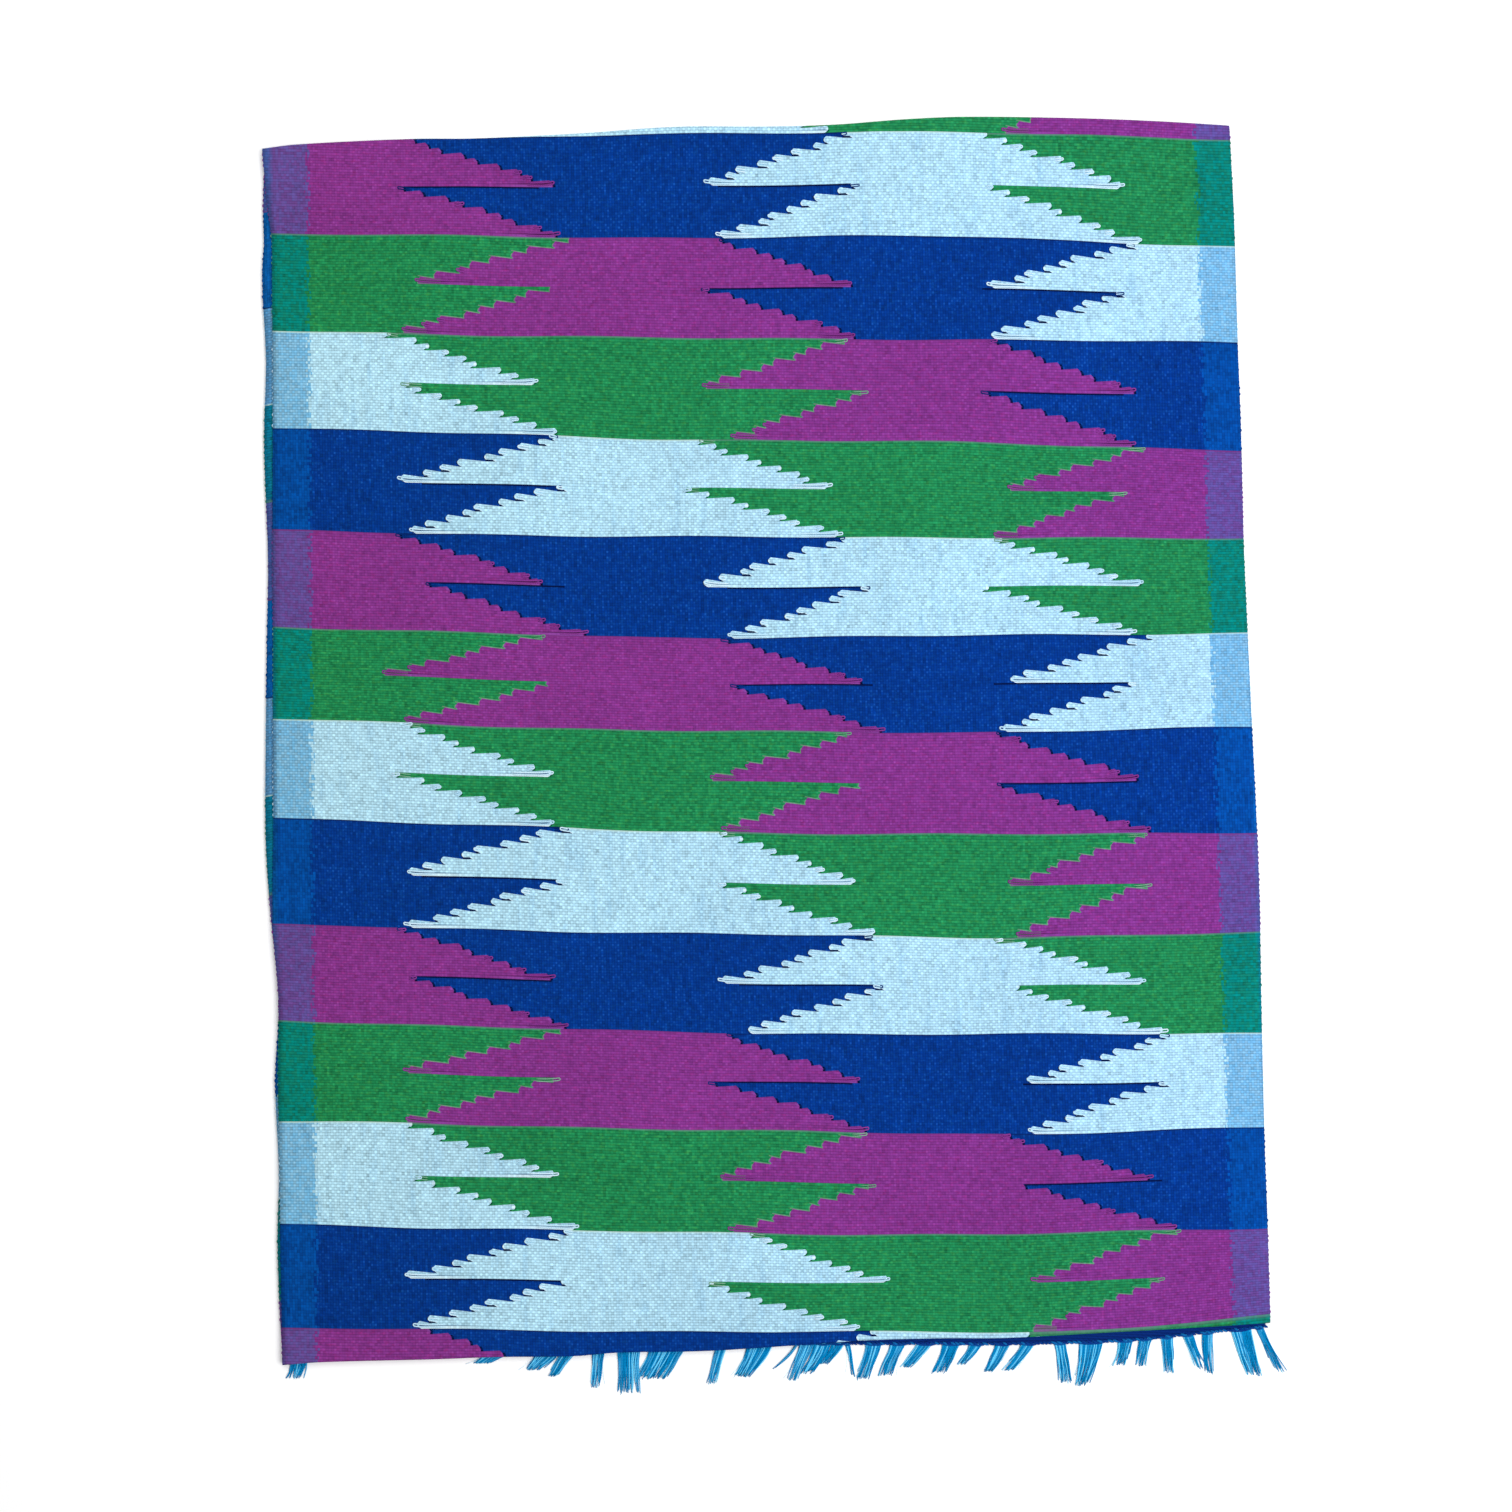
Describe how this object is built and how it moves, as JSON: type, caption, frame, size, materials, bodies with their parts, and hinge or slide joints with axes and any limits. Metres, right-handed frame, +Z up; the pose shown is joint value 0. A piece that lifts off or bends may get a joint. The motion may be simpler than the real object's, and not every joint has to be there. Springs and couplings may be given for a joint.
{
  "type": "folded rebozo shawl",
  "caption": "Handwoven rebozo shawl with bands of serrated steps, folded in three and laid flat, its fringed end at the lower edge.",
  "frame": {"origin": "middle of the box round the folded shawl, on the surface it lies on", "axes": "+X to the right across the cloth, +Y along the cloth from the fringed edge to the upper fold, +Z up"},
  "size_m": [0.7162, 0.9132, 0.0053],
  "materials": {
    "woven_cotton": "handwoven cotton in blue, pale blue, green and magenta bands, matt",
    "hidden_cotton": "the same handwoven cotton where it is turned under, matt",
    "fringe_cotton": "loose turquoise cotton warp ends, slightly glossy"
  },
  "bodies": {
    "root": {"front_stretch": "woven_cotton", "hidden_layers": "hidden_cotton", "fringed_end": "fringe_cotton"}
  },
  "joints": []
}
